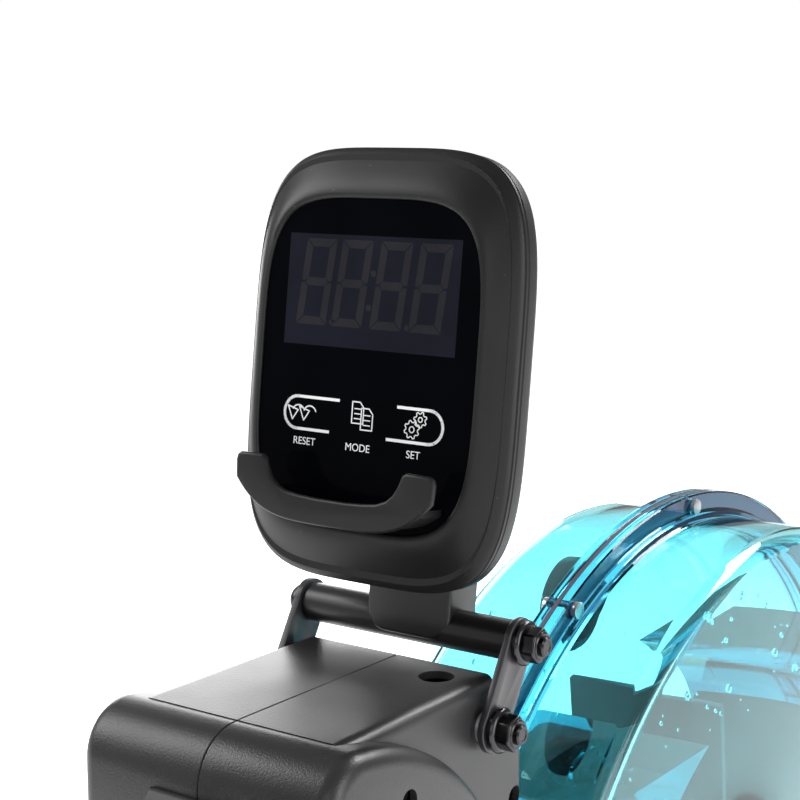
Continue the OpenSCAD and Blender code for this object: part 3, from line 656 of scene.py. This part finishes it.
def add_bolt_set(bm, gap):
    """Washer, flanged hexagon nut and bolt end on the right; washer and domed head on the left.
    Sizes in millimetres from the axis, gap being the free play under the washer."""
    def turned(profile, x0, steps=40):
        lathe(bm, [(x0 + x, r) for x, r in profile], 0, 0, steps)

    face = 52.8 + gap
    turned([(0, 4.2), (0, 7.9), (0.25, 8.1), (1.4, 8.1), (1.6, 7.9), (1.6, 4.2)], face)
    turned([(1.6, 4.0), (1.6, 8.6), (1.9, 8.9), (2.6, 8.7), (3.3, 7.9), (3.5, 7.0), (3.5, 4.0)], face)
    hexagon = bmesh.ops.create_cone(bm, cap_ends=True, segments=6, radius1=7.35, radius2=7.35, depth=6.2)
    along_x = Matrix.Rotation(math.radians(90), 4, "Y") @ Matrix.Rotation(math.radians(17), 4, "Z")
    bmesh.ops.transform(bm, verts=hexagon["verts"],
                        matrix=Matrix.Translation((face + 6.0, 0, 0)) @ along_x)
    bevel_edges(bm, {e for v in hexagon["verts"] for e in v.link_edges}, 1.0, 3)
    turned([(8.6, 4.0), (8.6, 5.7), (9.3, 5.5), (9.7, 5.0), (9.7, 4.0)], face)
    turned([(0, 0), (0, 3.95), (11.0, 3.95), (11.6, 3.3), (11.6, 2.4), (11.3, 2.1), (11.3, 0)], face)
    turned([(0, 4.2), (0, 7.8), (-0.3, 8.0), (-1.3, 8.0), (-1.5, 7.8), (-1.5, 4.2)], -face)
    turned([(-1.5, 0), (-1.5, 6.8), (-2.4, 6.9), (-4.2, 6.2), (-5.6, 4.8), (-6.3, 2.6), (-6.5, 0)], -face)
    add_rod(bm, 0, 0, 3.95, -face - 1, face + 1, 32)


for name, axis, gap in (("upper", PIVOT, 0.0), ("lower", joint_at["link_swing"], 0.3)):
    bm = bmesh.new()
    add_bolt_set(bm, gap)
    bmesh.ops.transform(bm, matrix=Matrix.Translation(axis) @ Matrix.Scale(MM, 4), verts=bm.verts)
    place_piece(name + "_bolt_set", bm, dark_zinc, "links", "dark_bolt", name + "_pivot", sharp=35)


# Housing in front of the drum.
# Two grained plastic halves, 3 mm thick, met at a seam along the middle. The box ends in a
# nose round the guide pulley, a little wider than the box, with the strap outlet in its front.
# Each half is a box piece and a nose piece that overlap.
BOX_HALF, NOSE_HALF, WALL, BOX_TOP = 47.0, 58.0, 3.0, 588.0
TANK_Y, TANK_Z, TANK_GAP = 711.0, 371.0, 248.0


def side_outline(inset):
    """The box in side view as one closed line without its nose, set in by a wall when asked."""
    gap = TANK_GAP + inset
    line = [(471 - inset / 2, BOX_TOP - inset), (374, BOX_TOP - inset), (365 + inset, 470.5),
            (360 + inset, 76 - 2 * inset), (530 - inset, 76 - 2 * inset), (530 - inset, 182)]
    (ya, za), (yb, zb) = (530 - inset, 182), (492 - inset, 262)
    share = next(s for s in (i / 4000 for i in range(4001))
                 if math.hypot(ya + (yb - ya) * s - TANK_Y, za + (zb - za) * s - TANK_Z) <= gap)
    low = math.degrees(math.atan2(za + (zb - za) * share - TANK_Z, ya + (yb - ya) * share - TANK_Y))
    high = math.degrees(math.acos((492 - inset - TANK_Y) / gap))
    line += arc_points(TANK_Y, TANK_Z, gap, low % 360, high, 24)
    return line + [(492 - inset, 553)]


def add_prism(bm, outline, x0, x1):
    raise_outline(bm, [(x0, y, z) for y, z in outline], (x1 - x0, 0, 0))


def at_x(bm, x):
    return [e for e in bm.edges if all(abs(v.co.x - x) < 1e-6 for v in e.verts)]


SCREWS = [(485.3, 534.5, 41.0), (398.0, 563.0, 52.0), (518.0, 152.0, 41.0)]


def nose_outline(inset):
    """The nose in side view: upright front, tight upper corner, broad fall to the back."""
    return ([(352 + inset, 450)] + arc_points(372, 567.9, 20 - inset, 180, 90, 12)
            + arc_points(365, 482.9, 105 - inset, 84, 20, 32)
            + arc_points(407.3, 498.4, 60 - inset, 16, -90, 26) + [(364, 438.4 + inset)])


def openings():
    """What both the box and its nose are cut away by: strap outlet, rail, beam and screws."""
    bm = bmesh.new()
    add_block(bm, (-1, 320, 542.3), (22, 362, 565.3))
    add_block(bm, (-1, 300, 256), (30.5, 369, 318.6))
    add_block(bm, (-1, 515, 66), (30.6, 540, 120.6))
    for y, z, face in SCREWS:
        add_rod(bm, y, z, 4.6, face, 70, 32)
    return bm


for side, sign in (("right", 1), ("left", -1)):
    bm = bmesh.new()
    add_prism(bm, side_outline(0), 0.12, BOX_HALF)
    bevel_edges(bm, at_x(bm, BOX_HALF), 5.0, 5)
    bevel_edges(bm, at_x(bm, 0.12), 0.35, 1)
    box_half = place_piece("housing_box_" + side, bm, housing_plastic, "base", "abs_black", "shroud_" + side)
    bm = bmesh.new()
    add_prism(bm, side_outline(WALL), -1, BOX_HALF - WALL)
    cut(box_half, bm)
    bm = bmesh.new()
    add_prism(bm, nose_outline(WALL + 0.3), -1, 50)
    cut(box_half, bm)
    cut(box_half, openings())
    if side == "right":
        bm = bmesh.new()
        hole = bmesh.ops.create_cone(bm, cap_ends=True, segments=48, radius1=7, radius2=7, depth=24)
        bmesh.ops.translate(bm, vec=(29, 456.5, BOX_TOP), verts=hole["verts"])
        cut(box_half, bm)
    bm = bmesh.new()
    add_prism(bm, nose_outline(0), 0.12, NOSE_HALF)
    bevel_edges(bm, at_x(bm, NOSE_HALF), 7.0, 6)
    bevel_edges(bm, at_x(bm, 0.12), 0.35, 1)
    nose = place_piece("housing_nose_" + side, bm, housing_plastic, "base", "abs_black", "shroud_" + side)
    bm = bmesh.new()
    add_prism(bm, nose_outline(WALL), -1, NOSE_HALF - WALL)
    cut(nose, bm)
    bm = bmesh.new()
    add_prism(bm, side_outline(WALL + 0.4), -1, BOX_HALF - WALL)
    cut(nose, bm)
    cut(nose, openings())
    for piece in (box_half, nose):
        piece.data.transform(Matrix.Diagonal((sign * MM, MM, MM, 1)))
        if sign < 0:
            piece.data.flip_normals()
        piece.data.set_sharp_from_angle(angle=math.radians(30))

# dark floor of each screw recess, then the screws themselves
bm = bmesh.new()
for y, z, face in SCREWS:
    for sign in (1, -1):
        made = add_rod(bm, y, z, 5.6, face - 3, face - 0.1, 32)
        if sign < 0:
            bmesh.ops.transform(bm, matrix=Matrix.Diagonal((-1, 1, 1, 1)), verts=made)
bmesh.ops.transform(bm, matrix=Matrix.Scale(MM, 4), verts=bm.verts)
place_piece("screw_bosses", bm, foot_plastic, "base", "abs_black")
eased_copy("shroud_screws", 0.5 * MM, dark_zinc)
eased_copy("strap_mouth", 1.0 * MM, foot_plastic, segments=3)
eased_copy("belt_cover", 2.0 * MM, housing_plastic, segments=3)


# Water drum shells, seal and flange screws.
# Two turned halves of clear cyan polycarbonate, 4 mm thick, bolted through a ridged flange over
# a grey seal. The flange ring beyond RING_REACH has a deeper blue than the walls.
def clear_plastic(name, colour, roughness, ior):
    material = shader_material(name, colour, roughness, transmission_weight=1.0)
    material.node_tree.nodes["Principled BSDF"].inputs["IOR"].default_value = ior
    drift = noise_from(material, 9, 3)
    set_colour(material, ramp(material, drift, [(0.3, shade(colour, 0.95)), (0.7, shade(colour, 1.03))]))
    relief(material, noise_from(material, 24, 2), 0.05, 0.0004)
    return material


cyan_shell = clear_plastic("cyan_shell", (0.40, 0.925, 0.985), 0.015, 1.42)
cyan_ring = clear_plastic("cyan_ring", (0.08, 0.50, 0.80), 0.03, 1.42)
# the water's own teal tint is darkened further to stand in for the dark machine seen through and in it:
# partly its own tint, partly painted shade
drum_water = clear_plastic("drum_water", (0.02, 0.30, 0.42), 0.0, 1.33)
bubble_clear = clear_plastic("bubble_clear", (0.75, 0.98, 1.0), 0.0, 1.33)
seal_grey = soft_rubber("seal_grey", (0.10, 0.085, 0.12), 0.55)
blade_dark = moulded_plastic("blade_dark", (0.045, 0.060, 0.066), 0.45, 600, 0.2)


def shell_profile(sign):
    """One drum half in section: flange, wall, rounded shoulder, flat side and bearing hub."""
    def rounded(radius, angles):
        return [(49 + radius * math.sin(a), 218 + radius * math.cos(a)) for a in map(math.radians, angles)]

    shoulder = rounded(9, [9 * i for i in range(11)])
    inner = rounded(5, [90 - 15 * i for i in range(7)])
    line = [(1.05, 223), (1.05, 239.5), (1.5, 240), (5.3, 240), (6.0, 239.3), (6.0, 231.5), (6.6, 230.9),
            (8.8, 230.6), (9.4, 230.0), (9.8, 228.2), (11, 227.3), (14, 227)]
    line += shoulder + [(58, 44), (58.6, 42), (60, 40.5), (65, 32.6), (65.8, 31.8), (65.8, 25.4),
                        (66.2, 25), (71.3, 25), (72, 24.3), (72, 9), (54, 9)] + inner
    return [(sign * x, r) for x, r in line]


RING_REACH = 0.2272
for side, sign in (("right", 1), ("left", -1)):
    bm = bmesh.new()
    lathe(bm, shell_profile(sign), TANK_Y, TANK_Z, 192)
    bmesh.ops.transform(bm, matrix=Matrix.Scale(MM, 4), verts=bm.verts)
    shell = place_piece("drum_" + side, bm, (cyan_shell, cyan_ring), "base", "tank_clear",
                        "tank_" + side, sharp=25)
    for face in shell.data.polygons:
        reach = math.hypot(face.center.y - TANK_Y * MM, face.center.z - TANK_Z * MM)
        face.material_index = 1 if reach > RING_REACH else 0
eased_copy("tank_seal", 0.1 * MM, seal_grey, segments=1)
eased_copy("flange_screws", 0.5 * MM, zinc)
eased_copy("impeller", 0.6 * MM, blade_dark, segments=2)
for node, finish, radius in (("impeller_shaft", zinc, 0.6), ("fill_plug", black_rubber, 1.0),
                             ("tank_cradle", black_coat, 1.0)):
    eased_copy(node, radius * MM, finish)

# Still water, in the shape of its own solid.
place_piece("drum_water", node_copy("tank_water"), drum_water, "base", "water", "tank_water", turn=False)

# Drops that cling inside the two flat sides above the water.
chance = random.Random(11)
DROPS_ABOVE = 516
bm = bmesh.new()
for i in range(150):
    angle = math.radians(chance.uniform(60, 165))
    reach = chance.uniform(95, 214)
    y, z = TANK_Y + reach * math.cos(angle), TANK_Z + reach * math.sin(angle)
    size = chance.choice((0.45, 0.6, 0.8, 1.1, 1.5, 2.2))
    if z < DROPS_ABOVE:
        continue
    x = 53.7 if i % 4 else -53.7
    drop = bmesh.ops.create_uvsphere(bm, u_segments=14, v_segments=8, radius=size)
    place = Matrix.Translation((x - math.copysign(size * 0.3, x), y, z)) @ Matrix.Diagonal((0.55, 1, 1.1, 1))
    bmesh.ops.transform(bm, matrix=place, verts=drop["verts"])
bmesh.ops.transform(bm, matrix=Matrix.Scale(MM, 4), verts=bm.verts)
place_piece("drum_drops", bm, bubble_clear, "base", "water")


# Frame steelwork.
# Powder-coated beams, pillars and plates, edges rolled as on tube and cut plate.
for node, radius in (("main_beam", 2.5), ("pylon", 0.8), ("front_stabilizer", 3.0),
                     ("rear_stabilizer", 3.0), ("rear_post", 2.5), ("foot_crossbar", 0.8)):
    eased_copy(node, radius * MM, black_coat)
for node, finish, radius in (("rail", anodised, 0.8), ("wheel_axles", zinc, 0.5), ("pylon_axles", zinc, 0.5),
                             ("rail_stops", black_rubber, 1.2), ("rail_end_cap", foot_plastic, 2.0),
                             ("front_caps", foot_plastic, 3.0), ("rear_caps", foot_plastic, 3.0)):
    eased_copy(node, radius * MM, finish)
for side in ("left", "right"):
    eased_copy("wheel_" + side, 2.5 * MM, tyre_rubber, segments=3)
    eased_copy("footplate_" + side, 1.6 * MM, foot_plastic, segments=3)
    eased_copy("heel_cup_" + side, 1.2 * MM, foot_plastic, segments=2)


# Drive.
# Nylon guide pulley and spool, steel axle, and two black pulleys with the belt between them.
for node, finish, radius in (("guide_pulley", pale_nylon, 0.8), ("spool", pale_nylon, 0.8),
                             ("drive_axle", zinc, 0.5), ("drive_pulley", black_coat, 0.8),
                             ("impeller_pulley", black_coat, 0.8), ("drive_belt", black_rubber, 0.2)):
    eased_copy(node, radius * MM, finish, segments=1)


# Webbing.
# Woven polyester strap, 25 mm wide and 1.2 mm thick, from the handle clip over the guide pulley
# and down to its roll. The foot straps and seat rollers are eased copies.
def woven(name, colour):
    """Plain weave read from the strap's own UV map, whose unit is a metre along the strap."""
    material = shader_material(name, colour, 0.78)
    nodes, links = material.node_tree.nodes, material.node_tree.links
    uv = nodes.new("ShaderNodeUVMap")
    uv.uv_map = "run"
    height = None
    for direction, scale in (("X", 620), ("Y", 380)):
        wave = nodes.new("ShaderNodeTexWave")
        wave.bands_direction = direction
        wave.inputs["Scale"].default_value = scale / math.tau * 0.5
        wave.inputs["Distortion"].default_value = 0.4
        links.new(uv.outputs["UV"], wave.inputs["Vector"])
        if height is None:
            height = wave.outputs["Fac"]
        else:
            join = nodes.new("ShaderNodeMath")
            join.operation = "MULTIPLY"
            links.new(height, join.inputs[0])
            links.new(wave.outputs["Fac"], join.inputs[1])
            height = join.outputs["Value"]
    # colour follows the weave's height: painted shade in the hollows between threads and painted light on
    # their crowns
    set_colour(material, ramp(material, height, [(0.0, shade(colour, 0.55)), (0.8, shade(colour, 1.5))]))
    relief(material, height, 0.5, 0.0004)
    return material


webbing_black = woven("webbing_black", (0.022, 0.022, 0.024))


def ribbon(name, line, width, thickness, x_middle, material, body, slot_name, *nodes):
    """A flat strap whose middle follows the (y, z) points, all in millimetres."""
    bm = bmesh.new()
    layer = bm.loops.layers.uv.new("run")
    rows, runs, run = [], [], 0.0
    for i, (y, z) in enumerate(line):
        before, after = line[max(i - 1, 0)], line[min(i + 1, len(line) - 1)]
        along = Vector((after[0] - before[0], after[1] - before[1])).normalized()
        if i:
            run += math.dist(line[i], line[i - 1])
        runs.append(run)
        edge, w, t = thickness * 0.35, width / 2, thickness / 2
        across = [(-w, -edge), (edge - w, -t), (w - edge, -t), (w, -edge),
                  (w, edge), (w - edge, t), (edge - w, t), (-w, edge)]
        rows.append([bm.verts.new((x_middle + a, y - along.y * b, z + along.x * b)) for a, b in across])
    for i in range(len(rows) - 1):
        for k in range(8):
            corners = ((i, k), (i, (k + 1) % 8), (i + 1, (k + 1) % 8), (i + 1, k))
            face = bm.faces.new([rows[row][column] for row, column in corners])
            for loop, (row, column) in zip(face.loops, corners):
                loop[layer].uv = (rows[row][column].co.x * MM, runs[row] * MM)
    bm.faces.new(rows[0][::-1])
    bm.faces.new(rows[-1])
    bmesh.ops.transform(bm, matrix=Matrix.Scale(MM, 4), verts=bm.verts)
    return place_piece(name, bm, material, body, slot_name, *nodes)


STRAP_Z, GUIDE_Y, GUIDE_Z = 553.3, 403.0, 523.0
strap_line = [(338 + 65 * i / 40, STRAP_Z) for i in range(40)]
strap_line += arc_points(GUIDE_Y, GUIDE_Z, STRAP_Z - GUIDE_Z, 90, 0, 20)
strap_line += [(433.3 + 0.6 * i / 12, 523 - 123 * i / 12) for i in range(1, 13)]
strap = ribbon("pull_strap", strap_line, 25, 1.2, 0, webbing_black, "base", "webbing", "drive_strap")
# the strap belongs to two bodies, so it is left riding on neither
strap.parent = None
del strap["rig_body"]
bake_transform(strap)
eased_copy("strap_roll", 0.4 * MM, black_rubber)
for node, radius in (("foot_straps", 0.5), ("roller_front", 1.5), ("roller_rear", 1.5)):
    eased_copy(node, radius * MM, black_rubber if node == "foot_straps" else pale_nylon)


# Handle.
# A bent steel tube with foam grips and a plated clip for the strap.
eased_copy("handle_bar", 0.5 * MM, black_coat)
eased_copy("handle_grips", 1.5 * MM, black_rubber, segments=3)
eased_copy("handle_clip", 0.8 * MM, zinc)


# Seat.
# A vinyl foam pad, crowned and pulled in at its edge, on a plastic base over a steel carriage.
eased_copy("seat_frame", 1.2 * MM, black_coat)
eased_copy("seat_base", 1.5 * MM, foot_plastic)
vinyl = soft_rubber("vinyl", (0.020, 0.020, 0.021), 0.48)


def puffed(node, finish, shrink, pressure, cap):
    """The pad's plain solid, set in a little, blown up by cloth pressure with its underside held."""
    low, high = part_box(node)
    foot = Vector(((low.x + high.x) / 2, (low.y + high.y) / 2, low.z))
    bm = node_copy(node)
    rims = [e for e in bm.edges if len(e.link_faces) == 2 and e.calc_face_angle(0) > math.radians(50)
            and min(v.co.z for v in e.verts) > (low.z + high.z) / 2]
    bevel_edges(bm, rims, 0.014, 4)
    bmesh.ops.transform(bm, verts=bm.verts, matrix=Matrix.Translation(foot)
                        @ Matrix.Diagonal((*shrink, 1)) @ Matrix.Translation(-foot))
    pad = place_piece(node + "_pad", bm, finish, body_of_node[node], slot_of_node[node], node, turn=False)

    def settle():
        made = settled_mesh(pad)
        pad.modifiers.clear()
        pad.data = made

    remesh = pad.modifiers.new("remesh", "REMESH")
    remesh.mode, remesh.voxel_size = "VOXEL", 0.005
    settle()
    held = pad.vertex_groups.new(name="held")
    held.add([v.index for v in pad.data.vertices if v.normal.z < -0.75], 1.0, "REPLACE")
    rest = [v.co.copy() for v in pad.data.vertices]
    cloth = pad.modifiers.new("cloth", "CLOTH")
    cloth.settings.vertex_group_mass = "held"
    cloth.settings.use_pressure = True
    cloth.settings.uniform_pressure_force = pressure
    cloth.settings.effector_weights.gravity = 0
    for step in range(1, 21):
        scene.frame_set(step)
    settle()
    scene.frame_set(1)
    for v, start in zip(pad.data.vertices, rest):
        if (v.co - start).length > cap:
            v.co = start + (v.co - start).normalized() * cap
    pad.vertex_groups.clear()
    smooth = pad.modifiers.new("smooth", "SUBSURF")
    smooth.levels = smooth.render_levels = 1
    pad.data.shade_smooth()
    return pad


puffed("seat_cushion", vinyl, (0.965, 0.965, 0.86), 4.0, 0.006)


# Floor.
# A pale even floor under the machine, which isn't part of it.
bm = bmesh.new()
bmesh.ops.create_grid(bm, x_segments=1, y_segments=1, size=12)
floor_mesh = bpy.data.meshes.new("floor")
bm.to_mesh(floor_mesh)
bm.free()
floor = bpy.data.objects.new("floor", floor_mesh)
scene.collection.objects.link(floor)
floor_paint = shader_material("floor_paint", (0.93, 0.93, 0.93), 0.9)
floor_drift = noise_from(floor_paint, 0.6, 2)
floor_tone = ramp(floor_paint, floor_drift, [(0.3, (0.92, 0.92, 0.92)), (0.7, (0.95, 0.95, 0.95))])
set_colour(floor_paint, floor_tone)
floor_paint.node_tree.nodes["Principled BSDF"].inputs["Emission Color"].default_value = (1, 1, 1, 1)
floor_paint.node_tree.nodes["Principled BSDF"].inputs["Emission Strength"].default_value = 1.0
floor_mesh.materials.append(floor_paint)
